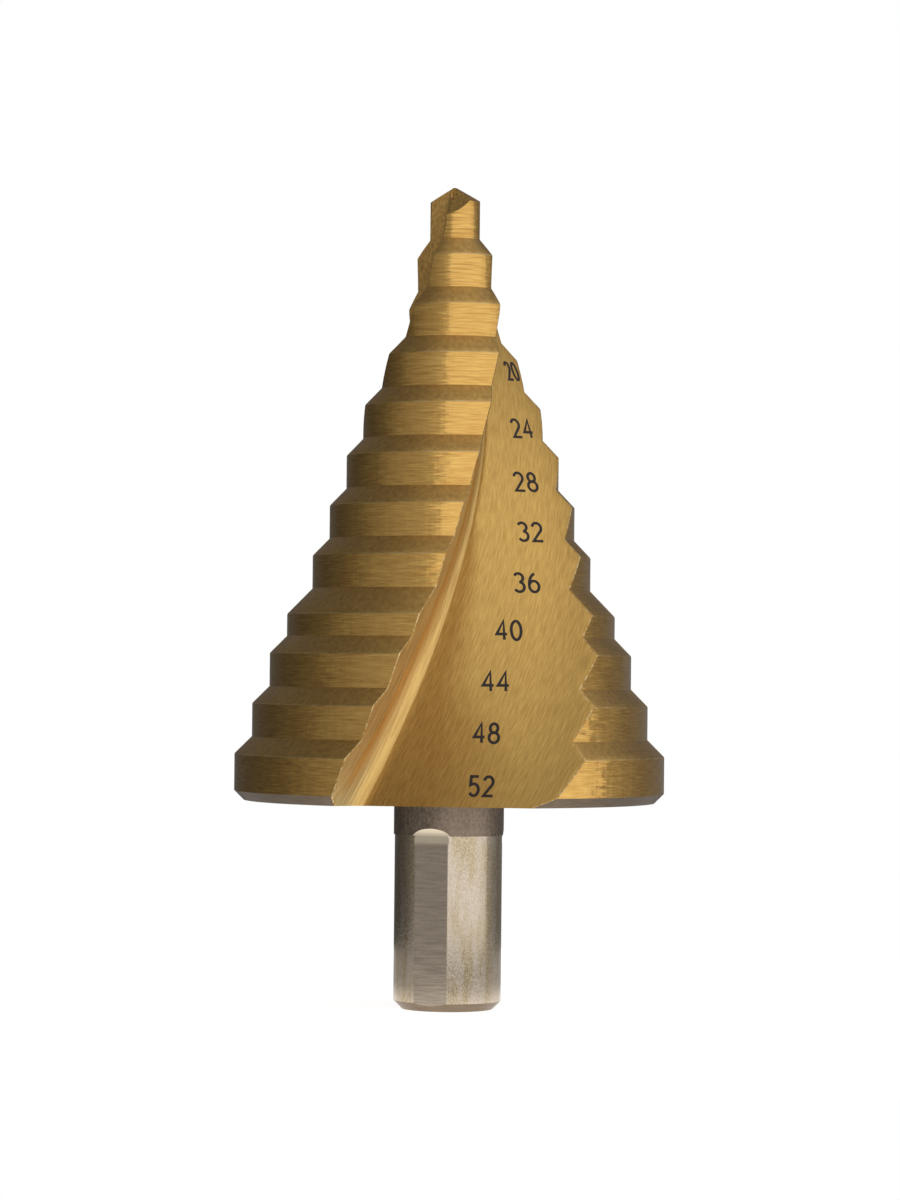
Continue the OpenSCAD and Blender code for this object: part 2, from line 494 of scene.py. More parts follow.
def shank_rings():
    """Rings from the collar's top down to the shank's end face, with their kinds.

    A kind names the material round the shank and that on its flats.
    """
    shank_r, collar_r = SHANK_D / 2, COLLAR_D / 2
    rings, kinds = [shank_ring(RIM_Z, collar_r)], [(RIM, RIM)]

    def add(z, r, kind):
        rings.append(shank_ring(z, r))
        kinds.append(kind)

    for z in spaced(RIM_Z, RUNOUT_TOP, COLLAR_ROWS):
        add(z, collar_r, (COLLAR, COLLAR))
    for z in RUNOUT_TOP + (SHANK_H - RUNOUT_TOP) * spaced(0, 1, BEND_ROWS) ** BEND_CROWDING:
        add(z, collar_r, (COLLAR, RUNOUT))
    add(SHANK_H, shank_r, (COLLAR, RUNOUT))
    for z in spaced(SHANK_H, RUNOUT_FOOT, RUNOUT_ROWS):
        add(z, shank_r, (SHANK, RUNOUT))
    for z in spaced(RUNOUT_FOOT, END_CHAMFER, SHANK_ROWS):
        add(z, shank_r, (SHANK, FLAT))
    flat_foot = FLAT_DIST - shank_r + END_CHAMFER
    for z in spaced(END_CHAMFER, flat_foot, CHAMFER_ROWS):
        add(z, shank_r - END_CHAMFER + z, (RIM, FLAT))
    for z in (flat_foot / 2, 0):
        add(z, shank_r - END_CHAMFER + z, (RIM, RIM))
    end = rings[-1]
    for share in END_SHARES:
        rings.append(end * [share, share, 1])
        kinds.append((RIM, RIM))
    return rings, kinds


BASE_RING = both_sides(side_points(Row(RIM_Z, STEP_COUNT, cut=RIM_CHAMFER)))
BASE_SHARES = (0.08, 0.25, 0.5, 0.75)


def column_kinds(row_kind):
    """The material of each column of faces in a row."""
    if row_kind in (LAND, LEAD, CORNER, RIM):
        side = np.empty(SIDE_SAMPLES, int)
        root_end = RAKE_SAMPLES + ROOT_SAMPLES
        land_start = root_end + FACE_SAMPLES
        side[:RAKE_SAMPLES] = RAKE
        side[RAKE_SAMPLES:root_end] = ROOT
        side[root_end:land_start] = FACE
        side[land_start - 1] = EDGE
        side[land_start:] = row_kind
        side[-1] = EDGE
        return np.concatenate([side, side])
    return np.full(RING_SAMPLES, row_kind)


def shank_columns(kinds):
    """As column_kinds, for a row of the shank with its flats."""
    around, flat = kinds
    one = np.full(FLAT_SAMPLES + ROUND_SAMPLES, around)
    one[: FLAT_SAMPLES - 1] = flat
    return np.roll(np.tile(one, FLAT_COUNT), -ring_start())


def body_rings():
    """Rings from the point to the end face, with the materials of the row above each."""
    point = point_rings()
    rings = cap_rings(point[0])
    columns = [np.full(RING_SAMPLES, FLANK)] * len(rings)
    rings.append(point[0])
    columns.append(np.full(RING_SAMPLES, FLANK))
    for ring in point[1:]:
        rings.append(ring)
        columns.append(column_kinds(LAND))
    for row, kind in zip(*body_rows()):
        rings.append(both_sides(side_points(row)))
        columns.append(column_kinds(kind))
    lower, lower_kinds = shank_rings()
    for share in BASE_SHARES:
        rings.append(BASE_RING + (lower[0] - BASE_RING) * share)
        columns.append(np.full(RING_SAMPLES, RIM))
    for ring, kind in zip(lower, lower_kinds):
        rings.append(ring)
        columns.append(shank_columns(kind))
    return rings, columns


def body_mesh():
    """The whole drill as one closed mesh, its ends closed by fans about the axis."""
    rings, columns = body_rings()
    count = len(rings)
    points = np.concatenate(rings + [[[0, 0, TIP_Z]], [[0, 0, 0]]])
    faces, kinds = [], []
    following = [(j + 1) % RING_SAMPLES for j in range(RING_SAMPLES)]
    for k in range(1, count):
        upper, under = (k - 1) * RING_SAMPLES, k * RING_SAMPLES
        for j in range(RING_SAMPLES):
            after = following[j]
            faces.append((upper + j, under + j, under + after, upper + after))
            kinds.append(int(columns[k][j]))
    top, bottom = count * RING_SAMPLES, count * RING_SAMPLES + 1
    last = (count - 1) * RING_SAMPLES
    for j in range(RING_SAMPLES):
        after = following[j]
        faces.append((top, j, after))
        kinds.append(FLANK)
        faces.append((bottom, last + after, last + j))
        kinds.append(RIM)
    return points, faces, kinds


def make_object(name, points, faces, sharp_angle=25.0):
    mesh = bpy.data.meshes.new(name)
    mesh.from_pydata((np.asarray(points) * MM).tolist(), [], faces)
    mesh.validate()
    mesh.shade_smooth()
    mesh.set_sharp_from_angle(angle=math.radians(sharp_angle))
    obj = bpy.data.objects.new(name, mesh)
    bpy.context.scene.collection.objects.link(obj)
    return obj


def flow(points):
    """Coordinates that run with the flutes: distance across from the crease, height."""
    z = points[:, 2]
    u = z - RIM_Z
    d = flute_dir(u)
    n = points[:, 0] * cos(d) + points[:, 1] * sin(d)
    t = points[:, 1] * cos(d) - points[:, 0] * sin(d)
    n, t = np.where(t < 0, -n, n), np.abs(t)
    r, start_n, _, crease_t = root(u)
    wide = (t - crease_t) / cos(FACE_ANGLE)
    hollow = start_n - n - r * math.radians(ROOT_ARC)
    across = np.where(t > crease_t, wide, np.minimum(0, hollow))
    return np.stack([across, z, np.zeros(len(z))], 1) * MM


# Painted shade and light on the flutes: the width of the painted shade beside the crease, by
# height, where it fades and where the painted shade along the heel begins, as shares, and the
# reach of the paler, less orange painted light low in the root
SHADE_BY_CREASE = ((24, 13), (29, 11), (33, 8), (38, 4), (44, 2.6), (51, 1.6), (57, 0.4), (96, 0.1))
CREASE_SHADE_FADE = 0.5
HEEL_SHADE_START = 0.62
PALE_ROOT_TOP = 80.0
PALE_ROOT_SPAN = 25.0
PALE_ROOT_START = 1.0
PALE_ROOT_REACH = 1.4


def shade(points):
    """Shares of painted shade by the crease and the heel, and of painted light low in the root."""
    across, z, _ = flow(points).T / MM
    u = z - RIM_Z
    *_, crease_t = root(u)
    # Painted shade beside the crease and along the heel
    crease_shade_width = np.interp(z, *zip(*SHADE_BY_CREASE))
    beside = 1 - np.clip(across / crease_shade_width - CREASE_SHADE_FADE, 0, 1)
    spread = np.maximum(cone_r(u) - crease_t, 1) / cos(FACE_ANGLE)
    heel = np.clip((across / spread - HEEL_SHADE_START) / (1 - HEEL_SHADE_START), 0, 1)
    # Painted light: paler, less orange tones low down in the root
    root_light_share = np.clip((PALE_ROOT_TOP - z) / PALE_ROOT_SPAN, 0, 1)
    root_light_share *= np.clip((-across - PALE_ROOT_START) / PALE_ROOT_REACH, 0, 1)
    return np.stack([beside, heel, root_light_share], 1)


def build_body():
    points, faces, kinds = body_mesh()
    body = make_object("drill_body", points, faces)
    body.data.polygons.foreach_set("material_index", kinds)
    for name, values in (("flow", flow(points)), ("shade", shade(points))):
        attribute = body.data.attributes.new(name, "FLOAT_VECTOR", "POINT")
        attribute.data.foreach_set("vector", values.ravel())
    return body


class Paint:
    """A material, with short calls for its nodes."""

    def __init__(self, name):
        self.material = bpy.data.materials.new(name)
        self.material.use_nodes = True
        self.tree = self.material.node_tree

    def join(self, value, socket):
        """Gives a socket another's output, or a value of its own."""
        if isinstance(value, bpy.types.NodeSocket):
            self.tree.links.new(value, socket)
        else:
            socket.default_value = value

    def node(self, kind, **inputs):
        """A node whose inputs are given by their names."""
        node = self.tree.nodes.new("ShaderNode" + kind)
        for name, value in inputs.items():
            self.join(value, node.inputs[name.replace("_", " ")])
        return node

    def result(self, kind, *values, **settings):
        """The result of a node whose inputs in use are given in their order."""
        node = self.tree.nodes.new("ShaderNode" + kind)
        for name, setting in settings.items():
            setattr(node, name, setting)
        inputs = [socket for socket in node.inputs if socket.enabled]
        for socket, value in zip(inputs, values):
            self.join(value, socket)
        return next(socket for socket in node.outputs if socket.enabled)

    def ranged(self, value, span, low, high, curve="LINEAR"):
        """From low to high, as the value goes through its span."""
        first, last = span
        return self.result("MapRange", value, first, last, low, high, interpolation_type=curve)

    def attribute(self, name):
        """A value that the mesh carries."""
        attribute = self.node("Attribute")
        attribute.attribute_name = name
        return attribute.outputs


# The spans of a grain's values that go from least to most, for roughness, sway and stain, and
# how much longer than wide the specks of a coarse surface are
ROUGH_SPAN = (0.3, 0.7)
SWAY_SPAN = (0.2, 0.8)
STAIN_SPAN = (0.42, 0.58)
SPECK_STRETCH = 1.4


class Metal(Paint):
    """A metal's material, which grains vary.

    Grains are noise with a length along each axis, in millimetres.
    """

    def __init__(self, name):
        super().__init__(name)
        self.shader = self.tree.nodes["Principled BSDF"]
        self.shader.inputs["Metallic"].default_value = 1.0
        self.place = self.node("TexCoord").outputs["Object"]
        self.normal = None

    def grain(self, lengths, detail=2.0, place=None):
        scale = [1 / (length * MM) for length in lengths]
        mapping = self.node("Mapping", Vector=place or self.place, Scale=scale)
        noise = self.node("TexNoise", Vector=mapping.outputs[0], Scale=1.0, Detail=detail)
        return noise.outputs["Fac"]

    def tones(self, grain, dark, light, low=0.35, high=0.65):
        ramp = self.node("ValToRGB", Fac=grain)
        for element, place, tone in zip(ramp.color_ramp.elements, (low, high), (dark, light)):
            element.position = place
            element.color = (*tone, 1)
        return ramp.outputs["Color"]

    def blend(self, share, first, second):
        """From the first tones to the second, as the share goes from 0 to 1."""
        return self.result("Mix", share, first, second, data_type="RGBA")

    def wear(self, colour):
        """Gives the whole surface its colour, plain or from nodes."""
        self.join(colour, self.shader.inputs["Base Color"])

    def colour(self, grain, dark, light, low=0.35, high=0.65):
        self.wear(self.tones(grain, dark, light, low, high))

    def rough(self, grain, low, high):
        self.join(self.ranged(grain, ROUGH_SPAN, low, high), self.shader.inputs["Roughness"])

    def face(self, normal):
        self.normal = normal
        self.join(normal, self.shader.inputs["Normal"])

    def relief(self, grain, depth):
        """Relief of the surface, where the grain's whole range is depth millimetres high."""
        bump = self.node("Bump", Height=grain, Distance=depth * MM)
        if self.normal:
            self.join(self.normal, bump.inputs["Normal"])
        self.face(bump.outputs["Normal"])

    def sway(self, grain, amount):
        """Turns the surface to either side about the axis, as chatter under a tool does."""
        normal = self.normal or self.node("NewGeometry").outputs["Normal"]
        around = self.result("VectorMath", (0, 0, 1), normal, operation="CROSS_PRODUCT")
        swing = self.ranged(grain, SWAY_SPAN, -amount, amount)
        tilt = self.result("VectorMath", around, swing, operation="SCALE")
        swung = self.result("VectorMath", normal, tilt, operation="ADD")
        self.face(self.result("VectorMath", swung, operation="NORMALIZE"))


# Looks: colours are linear
GOLD = (0.78, 0.44, 0.12)
GOLD_PALE = (0.90, 0.56, 0.165)
GOLD_DEEP = (0.66, 0.355, 0.095)
GOLD_BROWN = (0.56, 0.31, 0.10)
FACE_PALE = (0.98, 0.62, 0.185)
FACE_DEEP = (0.70, 0.41, 0.115)
# Painted shade: darker tones beside the wide face's crease and along its heel
CREASE_SHADE_PALE = (0.66, 0.35, 0.09)
CREASE_SHADE_DEEP = (0.46, 0.225, 0.05)
HEEL_SHADE_PALE = (0.74, 0.45, 0.135)
HEEL_SHADE_DEEP = (0.50, 0.30, 0.09)
HOLLOW_PALE = (1.0, 0.67, 0.235)
HOLLOW_DEEP = (0.74, 0.45, 0.145)
# Painted light: paler, less orange tones low down in the root
ROOT_LIGHT_PALE = (0.88, 0.64, 0.28)
ROOT_LIGHT_DEEP = (0.60, 0.41, 0.16)
# Pale tone of burrs, and a painted glint on the edges and corner breaks
BURR_AND_GLINT = (0.95, 0.72, 0.36)
STEEL = (0.56, 0.465, 0.365)
STEEL_PALE = (0.78, 0.665, 0.53)
FLAT_DARK = (0.40, 0.33, 0.26)
STAIN = (0.42, 0.33, 0.205)
STAIN_PALE = (0.72, 0.585, 0.405)
# Run-out scoop: ground steel, its pale tone partly a painted highlight
RUNOUT_HIGHLIGHT = (0.86, 0.74, 0.52)
# Rim, chamfers and end face: brown steel, painted darker still as shade on faces that look down
RIM_SHADED_BROWN = (0.21, 0.155, 0.105)
RIM_SHADED_PALE = (0.31, 0.235, 0.165)
COLLAR_DARK = (0.24, 0.185, 0.14)
COLLAR_PALE = (0.43, 0.335, 0.255)
BURNT = (0.02, 0.013, 0.012)
BURNT_PALE = (0.045, 0.03, 0.025)


def land_metal():
    """The lands, with the fine rings and the chatter that turning left on them."""
    metal = Metal("gold_land")
    metal.sway(metal.grain((1.2, 1.2, 0.2), detail=1.0), amount=0.075)
    metal.sway(metal.grain((0.4, 0.4, 5)), amount=0.035)
    metal.relief(metal.grain((5, 5, 0.36), detail=1.0), depth=0.03)
    fine = metal.grain((2.5, 2.5, 0.14), detail=3.0)
    metal.colour(fine, GOLD_DEEP, GOLD_PALE, low=0.3, high=0.68)
    metal.rough(fine, low=0.1, high=0.2)
    return metal.material


def lead_metal():
    """The faces that lead into the steps, duller than the lands."""
    metal = Metal("gold_lead")
    mottle = metal.grain((0.5, 0.5, 2.2), detail=3.0)
    rings = metal.grain((7, 7, 0.16))
    metal.colour(mottle, GOLD_BROWN, GOLD_PALE, low=0.15, high=0.75)
    metal.rough(rings, low=0.24, high=0.34)
    metal.relief(rings, depth=0.004)
    return metal.material


def flute_lines(metal, width, length, depth, speck_depth):
    """Grinding lines that run along the flute, with the specks between them."""
    place = metal.attribute("flow")["Vector"]
    lines = metal.grain((width, length, 1), detail=4.0, place=place)
    specks = metal.grain((0.3, 0.3, 0.5), detail=3.0)
    metal.relief(lines, depth)
    metal.relief(specks, speck_depth)
    return lines, specks


def shares(metal):
    """The body's shares of painted shade by the crease and the heel, and of painted light in the
    root.
    """
    return metal.node("SeparateXYZ", Vector=metal.attribute("shade")["Vector"]).outputs


def wide_metal():
    """The flute's wide face, with painted shade beside the crease and along the heel."""
    metal = Metal("gold_face")
    lines, specks = flute_lines(metal, width=0.2, length=1.8, depth=0.012, speck_depth=0.008)
    beside, heel, _ = shares(metal)
    plain = metal.tones(lines, FACE_DEEP, FACE_PALE, low=0.28, high=0.66)
    heel_shade_tones = metal.tones(lines, HEEL_SHADE_DEEP, HEEL_SHADE_PALE, low=0.28, high=0.66)
    crease_shade_tones = metal.tones(lines, CREASE_SHADE_DEEP, CREASE_SHADE_PALE, low=0.28, high=0.66)
    metal.wear(metal.blend(beside, metal.blend(heel, plain, heel_shade_tones), crease_shade_tones))
    metal.rough(specks, low=0.22, high=0.32)
    return metal.material


def hollow_metal(name, width, length, depth, speck_depth, roughness, speckled=False):
    """The flute's root and rake face, with painted light low down in the root: paler, less orange
    tones.
    """
    metal = Metal(name)
    lines, specks = flute_lines(metal, width, length, depth, speck_depth)
    *_, root_light_share = shares(metal)
    grain = specks if speckled else lines
    plain = metal.tones(grain, HOLLOW_DEEP, HOLLOW_PALE, low=0.34, high=0.64)
    root_light_tones = metal.tones(lines, ROOT_LIGHT_DEEP, ROOT_LIGHT_PALE, low=0.3, high=0.66)
    metal.wear(metal.blend(root_light_share, plain, root_light_tones))
    metal.rough(specks, *roughness)
    return metal.material


def rough_metal(name, dark, light, speck, depth):
    """A surface with the specks of a coarse wheel or of scale."""
    metal = Metal(name)
    specks = metal.grain((speck, speck, speck * SPECK_STRETCH), detail=3.0)
    metal.colour(specks, dark, light)
    metal.rough(specks, low=0.3, high=0.45)
    metal.relief(specks, depth)
    return metal.material


def edge_metal():
    """Burrs along the edges that catch the light here and there, their pale tone partly a painted
    glint.
    """
    metal = Metal("gold_edge")
    burrs = metal.grain((0.4, 0.4, 0.5), detail=3.0)
    metal.colour(burrs, GOLD_DEEP, BURR_AND_GLINT, low=0.42, high=0.62)
    metal.rough(burrs, low=0.2, high=0.4)
    metal.relief(burrs, depth=0.07)
    return metal.material


def ground_metal(name, dark, light, lengths, depth, roughness):
    """Ground metal with grain along the given lengths."""
    metal = Metal(name)
    grain = metal.grain(lengths, detail=4.0)
    metal.colour(grain, dark, light, low=0.28, high=0.7)
    metal.rough(grain, *roughness)
    metal.relief(grain, depth)
    return metal.material


def shank_metal():
    """The shank's round part, turned, with brownish stains."""
    metal = Metal("shank_steel")
    specks = metal.grain((0.16, 0.16, 0.26), detail=3.0)
    stains = metal.grain((1.3, 1.3, 8), detail=3.0)
    clean = metal.tones(specks, STEEL, STEEL_PALE, low=0.3, high=0.66)
    stained = metal.tones(specks, STAIN, STAIN_PALE, low=0.3, high=0.66)
    share = metal.ranged(stains, STAIN_SPAN, 0.0, 1.0)
    metal.wear(metal.blend(share, clean, stained))
    metal.rough(specks, low=0.1, high=0.2)
    metal.relief(specks, depth=0.003)
    return metal.material


def corner_metal():
    # The corner break's pale tone is a painted glint along the top edge of each land
    lengths = (1.5, 1.5, 0.2)
    return ground_metal("gold_corner", GOLD, BURR_AND_GLINT, lengths, depth=0.004, roughness=(0.2, 0.35))


def rim_metal():
    # Brown steel, painted darker still as shade on the faces that look down
    lengths = (2, 2, 0.15)
    return ground_metal(
        "rim_steel", RIM_SHADED_BROWN, RIM_SHADED_PALE, lengths, depth=0.004, roughness=(0.3, 0.4)
    )


def flat_metal():
    lengths = (3, 3, 0.3)
    return ground_metal(
        "flat_steel", FLAT_DARK, STEEL, lengths, depth=0.012, roughness=(0.2, 0.32)
    )


def runout_metal():
    # The scoop's pale tones are partly a painted highlight on its ground steel
    lengths = (2, 2, 0.3)
    return ground_metal(
        "runout_steel", STEEL_PALE, RUNOUT_HIGHLIGHT, lengths, depth=0.004, roughness=(0.16, 0.26)
    )


def root_metal():
    return hollow_metal(
        "gold_root",
        width=0.22,
        length=6.0,
        depth=0.03,
        speck_depth=0.008,
        roughness=(0.34, 0.44),
    )


def rake_metal():
    return hollow_metal(
        "gold_rake",
        width=0.2,
        length=4.0,
        depth=0.04,
        speck_depth=0.05,
        roughness=(0.6, 0.7),
        speckled=True,
    )


def dress_body(body):
    """Gives the body its materials, in the order of their places in its mesh."""
    looks = {
        LAND: land_metal(),
        LEAD: lead_metal(),
        CORNER: corner_metal(),
        FACE: wide_metal(),
        ROOT: root_metal(),
        RAKE: rake_metal(),
        FLANK: rough_metal("gold_flank", GOLD_BROWN, GOLD_PALE, speck=0.25, depth=0.015),
        EDGE: edge_metal(),
        RIM: rim_metal(),
        COLLAR: rough_metal("collar_steel", COLLAR_DARK, COLLAR_PALE, speck=0.3, depth=0.015),
        SHANK: shank_metal(),
        FLAT: flat_metal(),
        RUNOUT: runout_metal(),
    }
    for kind in sorted(looks):
        body.data.materials.append(looks[kind])


# Size numbers on the flute's wide face: each one's place as the camera sees it, sideways from
# the axis and up from the shank's end, in millimetres, and its width against the plain one
LABELS = (
    ("20", 6.8, 74.55, 0.64),
    ("24", 8.05, 67.85, 0.96),
    ("28", 8.55, 61.6, 1),
    ("32", 9.15, 55.75, 1),
    ("36", 8.8, 49.8, 1),
    ("40", 6.78, 44.2, 0.98),
    ("44", 5.3, 38.2, 1),
    ("48", 4.3, 32.15, 0.96),
    ("52", 3.75, 25.95, 0.92),
)
DIGIT_H = 2.32
DIGIT_W = 1.25
DIGIT_PITCH = 1.72
STROKE_W = 0.34
MARK_LIFT = 0.012
MARK_SINK = 0.04
MARK_SHARP_ANGLE = 40.0
MITRE_LEAST = 0.5

# The search for the place on the face that the camera sees: rounds, first guess, step of slopes
SIGHT_ROUNDS = 12
SIGHT_ACROSS = 12.0
SIGHT_FAR = 0.98
SLOPE_STEP = 0.01


def arc_points(x, y, rx, ry, first, last, count=10):
    """Points on an arc, anticlockwise where last is over first."""
    angles = np.linspace(first, last, count)
    return [(x + rx * float(cos(a)), y + ry * float(sin(a))) for a in angles]


def digit_strokes(digit):
    """A digit's strokes in a cell of width and height 1, each with whether it closes."""
    if digit == "0":
        return [(arc_points(0.5, 0.5, 0.46, 0.5, 0, 345, count=24), True)]
    if digit == "2":
        return [(arc_points(0.5, 0.72, 0.44, 0.28, 165, -30) + [(0.05, 0), (0.98, 0)], False)]
    if digit == "3":
        upper = arc_points(0.46, 0.76, 0.42, 0.24, 150, -80)
        lower = arc_points(0.46, 0.27, 0.48, 0.27, 85, -150, count=12)
        return [(upper, False), (lower, False)]
    if digit == "4":
        return [([(0.72, 0), (0.72, 1), (0.02, 0.3), (1, 0.3)], False)]
    if digit == "5":
        top = [(0.9, 1), (0.18, 1), (0.12, 0.56)]
        return [(top + arc_points(0.46, 0.31, 0.46, 0.31, 100, -150, count=12), False)]
    if digit == "6":
        back = arc_points(0.74, 0.3, 0.7, 0.7, 100, 175)
        bowl = arc_points(0.5, 0.3, 0.46, 0.3, 0, 345, count=20)
        return [(back, False), (bowl, True)]
    # An 8 is left
    upper = arc_points(0.5, 0.76, 0.36, 0.24, 0, 345, count=18)
    lower = arc_points(0.5, 0.27, 0.46, 0.27, 0, 345, count=20)
    return [(upper, True), (lower, True)]


def wide_face(u, t):
    """A point on the flute's wide face, at height u and distance t across."""
    _, _, crease_n, crease_t = root(u)
    n = crease_n - (t - crease_t) * tan(FACE_ANGLE)
    d = flute_dir(u)
    return np.array([n * cos(d) - t * sin(d), n * sin(d) + t * cos(d), RIM_Z + u])


def face_frame(u, t):
    """The wide face's point there with its outward normal."""
    point = wide_face(u, t)
    across = wide_face(u, t + SLOPE_STEP) - point
    up = wide_face(u + SLOPE_STEP, t) - point
    normal = np.cross(across, up)
    normal /= np.linalg.norm(normal)
    toward = camera_place() - point
    return point, normal if normal @ toward > 0 else -normal


def seen_on_face(side, height):
    """The wide face's u and t where the camera sees it in line with a point of the axis plane."""
    eye = camera_place()
    right = np.array([cos(VIEW_DIR + 90), sin(VIEW_DIR + 90), 0])
    ray = side * right + [0, 0, height] - eye
    u, t, far = height - RIM_Z, SIGHT_ACROSS, SIGHT_FAR
    for _ in range(SIGHT_ROUNDS):
        here = wide_face(u, t)
        by_u = (wide_face(u + SLOPE_STEP, t) - here) / SLOPE_STEP
        by_t = (wide_face(u, t + SLOPE_STEP) - here) / SLOPE_STEP
        slopes = np.stack([by_u, by_t, -ray], 1)
        change = np.linalg.solve(slopes, eye + far * ray - here)
        u, t, far = u + change[0], t + change[1], far + change[2]
    return u, t


def label_place(side, height):
    """Places a label's strokes square to the wide face's own fall."""
    middle, normal = face_frame(*seen_on_face(side, height))
    across = np.cross([0, 0, 1], normal)
    across /= np.linalg.norm(across)
    up = np.cross(normal, across)

    def place(x, y):
        point = middle + x * across + y * up
        u = point[2] - RIM_Z
        d = flute_dir(u)
        return face_frame(u, point[1] * cos(d) - point[0] * sin(d))

    return place


def ribbon(stroke, closed, place):
    """A stroke as a closed band on the face: its points and faces."""
    line = np.array(stroke)
    if closed:
        before, after = np.roll(line, 1, 0), np.roll(line, -1, 0)
    else:
        before = np.vstack([2 * line[0] - line[1], line[:-1]])
        after = np.vstack([line[1:], 2 * line[-1] - line[-2]])
    into, out = line - before, after - line
    into /= np.linalg.norm(into, axis=1)[:, None]
    out /= np.linalg.norm(out, axis=1)[:, None]
    mitre = into + out
    mitre /= np.linalg.norm(mitre, axis=1)[:, None]
    widen = 1 / np.maximum(MITRE_LEAST, np.sum(mitre * into, axis=1))
    aside = np.stack([-mitre[:, 1], mitre[:, 0]], 1) * widen[:, None] * STROKE_W / 2
    points = []
    for middle, off in zip(line, aside):
        for sign in (1, -1):
            x, y = middle + sign * off
            point, normal = place(x, y)
            points += [point + normal * MARK_LIFT, point - normal * MARK_SINK]
    faces = []
    count = len(line)
    for k in range(count if closed else count - 1):
        a, b = 4 * k, 4 * ((k + 1) % count)
        for p, q in ((0, 2), (2, 3), (3, 1), (1, 0)):
            faces.append((a + p, a + q, b + q, b + p))
    if not closed:
        last = 4 * (count - 1)
        faces += [(0, 1, 3, 2), (last, last + 2, last + 3, last + 1)]
    return points, faces


def build_marks():
    """The size numbers, as thin dark bands on the wide face."""
    points, faces = [], []
    for label, side, height, width in LABELS:
        place = label_place(side, height)
        for k, digit in enumerate(label):
            left = (k - 0.5) * DIGIT_PITCH - DIGIT_W / 2
            foot = -DIGIT_H / 2
            for stroke, closed in digit_strokes(digit):
                line = [((left + x * DIGIT_W) * width, foot + y * DIGIT_H) for x, y in stroke]
                more, rings = ribbon(line, closed, place)
                faces += [tuple(len(points) + v for v in ring) for ring in rings]
                points += more
    return make_object("size_marks", points, faces, sharp_angle=MARK_SHARP_ANGLE)


def dress_marks(marks):
    """A dark, dull burn in the coating."""
    burn = Metal("burnt_mark")
    specks = burn.grain((0.2, 0.2, 0.2))
    burn.shader.inputs["Metallic"].default_value = 0.0
    burn.colour(specks, BURNT, BURNT_PALE)
    burn.rough(specks, low=0.45, high=0.65)
    burn.relief(specks, depth=0.004)
    marks.data.materials.append(burn.material)


# Camera: the photograph's viewing angle
VIEW_DIR = -63.56
VIEW_DISTANCE = 450.0
VIEW_Z = 39.49
VIEW_PITCH = 1.043
VIEW_YAW = 0.018
VIEW_ROLL = 0.596
LENS = 115.4
SENSOR_W = 36.0
CLIP_START = 0.01
CLIP_END = 50.0


def camera_place():
    return np.array([VIEW_DISTANCE * cos(VIEW_DIR), VIEW_DISTANCE * sin(VIEW_DIR), VIEW_Z])


def add_camera():
    data = bpy.data.cameras.new("camera")
    data.sensor_width = SENSOR_W
    data.lens = LENS
    data.clip_start = CLIP_START
    data.clip_end = CLIP_END
    camera = bpy.data.objects.new("camera", data)
    heading = math.radians(VIEW_DIR + 90 + VIEW_YAW)
    camera.matrix_world = (
        Matrix.Translation(Vector(camera_place()) * MM)
        @ Matrix.Rotation(heading, 4, "Z")
        @ Matrix.Rotation(math.radians(90 + VIEW_PITCH), 4, "X")
        @ Matrix.Rotation(math.radians(VIEW_ROLL), 4, "Z")
    )
    bpy.context.scene.collection.objects.link(camera)
    bpy.context.scene.camera = camera


def compass(azimuth):
    """A direction in the frame, from an azimuth that counts from the camera to its right."""
    return VIEW_DIR + azimuth


# The studio: a round tent whose panels have their own brightness, where 1 is white. Azimuths
# count from the camera to its right.
TENT_R = 2.0
TENT_AZIMUTHS = (*range(-180, 90, 5), 89, 91, *range(95, 180, 5))
TENT_ELEVATIONS = (-90, *range(-80, 90, 5), 90)
WALL = (
    (-180, 0.17),
    (-160, 0.085),
    (-128, 0.072),
    (-98, 0.125),
    (-68, 0.28),
    (-38, 0.40),
    (-27, 0.46),
    (-19, 0.58),
    (-12, 0.96),
    (65, 0.98),
    (89.9, 0.78),
    (90.1, 0.45),
    (112, 0.27),
    (127, 0.19),
    (180, 0.17),
)
WALL_BAND = ((-32, 0), (-12, 1), (9, 1), (20, 0))
OVERHEAD_AZIMUTH = 50.0
OVERHEAD_ELEVATION = 45.0
OVERHEAD_FALL = ((0, 0.70), (25, 0.56), (45, 0.43), (55, 0.33), (70, 0.17), (90, 0.12), (180, 0.1))
GROUND_LEVEL = 0.42
GROUND_BAND = ((-40, 1), (-12, 0))


def along(value, stops):
    return np.interp(value, *zip(*stops))


def tent_level(azimuth, elevation):
    """Brightness in a direction: a soft lamp overhead, the ground, and the walls at eye level."""
    upward = sin(elevation) * sin(OVERHEAD_ELEVATION)
    sideways = cos(elevation) * cos(OVERHEAD_ELEVATION) * cos(azimuth - OVERHEAD_AZIMUTH)
    apart = math.degrees(math.acos(np.clip(upward + sideways, -1, 1)))
    level = along(apart, OVERHEAD_FALL)
    level += (GROUND_LEVEL - level) * along(elevation, GROUND_BAND)
    return level + (along(azimuth, WALL) - level) * along(elevation, WALL_BAND)


def studio_paint(name):
    """A paint without a shader yet."""
    paint = Paint(name)
    paint.tree.nodes.clear()
    return paint


def show(paint, shader):
    paint.node("OutputMaterial", Surface=shader)


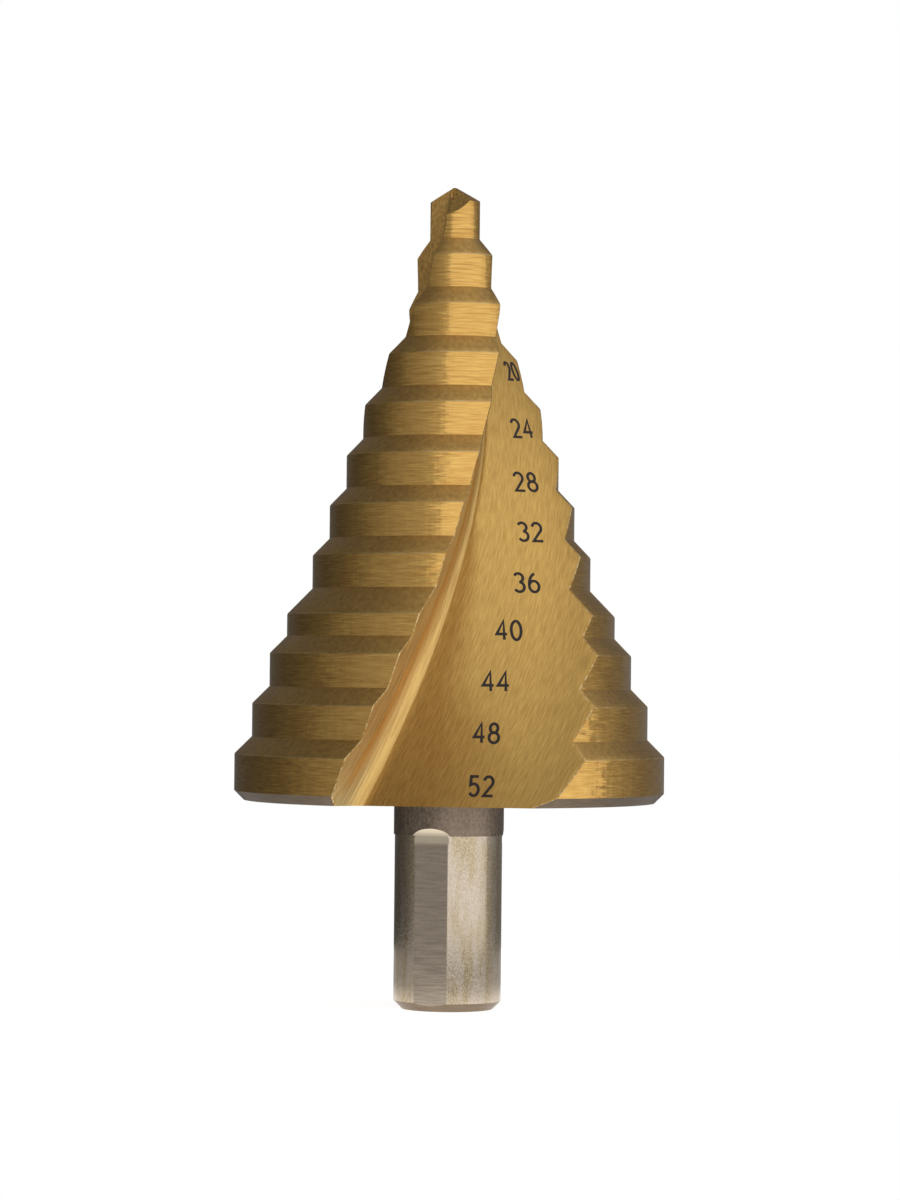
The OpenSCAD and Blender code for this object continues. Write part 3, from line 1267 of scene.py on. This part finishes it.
def add_tent():
    """The tent lights the drill and shows in its metal, while the camera looks through it."""
    points, levels, faces = [], [], []
    columns, rows = len(TENT_AZIMUTHS), len(TENT_ELEVATIONS)
    for elevation in TENT_ELEVATIONS:
        for azimuth in TENT_AZIMUTHS:
            a = compass(azimuth)
            r = TENT_R * cos(elevation)
            points.append((r * cos(a), r * sin(a), TENT_R * sin(elevation)))
            levels.append(float(tent_level(azimuth, elevation)))
    for k in range(rows - 1):
        for j in range(columns):
            low, high = k * columns, (k + 1) * columns
            after = (j + 1) % columns
            faces.append((low + j, low + after, high + after, high + j))
    mesh = bpy.data.meshes.new("tent")
    mesh.from_pydata(points, [], faces)
    brightness = mesh.attributes.new("brightness", "FLOAT", "POINT")
    brightness.data.foreach_set("value", levels)
    tent = bpy.data.objects.new("tent", mesh)
    bpy.context.scene.collection.objects.link(tent)
    tent.visible_camera = False
    tent.visible_shadow = False

    paint = studio_paint("tent")
    level = paint.attribute("brightness")["Fac"]
    show(paint, paint.node("Emission", Strength=level).outputs[0])
    mesh.materials.append(paint.material)


def add_world():
    world = bpy.data.worlds.new("world")
    world.use_nodes = True
    background = world.node_tree.nodes["Background"]
    background.inputs["Color"].default_value = (1, 1, 1, 1)
    background.inputs["Strength"].default_value = 1.0
    bpy.context.scene.world = world


FLOOR_R = 0.1
FLOOR_CORNERS = 96
FLOOR_GLOW = 0.86
FLOOR_COLOUR = (0.85, 0.85, 0.85, 1)
# The floor's glow in the metal dies away from the drill
MIRRORED_NEAR = 0.01
MIRRORED_FAR = 0.045
MIRRORED_LEAST = 0.15


def floor_paint():
    """White for the camera, and fading outwards in what metal and glass mirror."""
    paint = studio_paint("floor")
    place = paint.node("TexCoord").outputs["Object"]
    away = paint.result("VectorMath", place, operation="LENGTH")
    span = (MIRRORED_NEAR, MIRRORED_FAR)
    fade = paint.ranged(away, span, 1.0, MIRRORED_LEAST, curve="SMOOTHSTEP")
    rays = paint.node("LightPath").outputs
    glossy, transmission = rays["Is Glossy Ray"], rays["Is Transmission Ray"]
    either = paint.result("Math", glossy, transmission, operation="MAXIMUM")
    mirrored = paint.result("Math", either, fade, operation="MULTIPLY")
    seen = paint.result("Math", rays["Is Camera Ray"], mirrored, operation="MAXIMUM")
    strength = paint.result("Math", seen, FLOOR_GLOW, operation="MULTIPLY")
    glow = paint.node("Emission", Strength=strength).outputs[0]
    lit = paint.node("BsdfDiffuse", Color=FLOOR_COLOUR).outputs[0]
    show(paint, paint.result("AddShader", lit, glow))
    return paint.material


def add_floor():
    """A white floor that keeps the drill's shadow, narrow so that little of it is mirrored."""
    angles = [360 * j / FLOOR_CORNERS for j in range(FLOOR_CORNERS)]
    points = [(FLOOR_R * cos(angle), FLOOR_R * sin(angle), 0) for angle in angles]
    mesh = bpy.data.meshes.new("floor")
    mesh.from_pydata(points, [], [tuple(range(FLOOR_CORNERS))])
    mesh.materials.append(floor_paint())
    floor = bpy.data.objects.new("floor", mesh)
    bpy.context.scene.collection.objects.link(floor)


add_camera()
add_world()
add_tent()
add_floor()
body = build_body()
dress_body(body)
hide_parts("step_drill")
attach(body, "root")
marks = build_marks()
dress_marks(marks)
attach(marks, "root")

bpy.context.scene.view_settings.view_transform = "Standard"
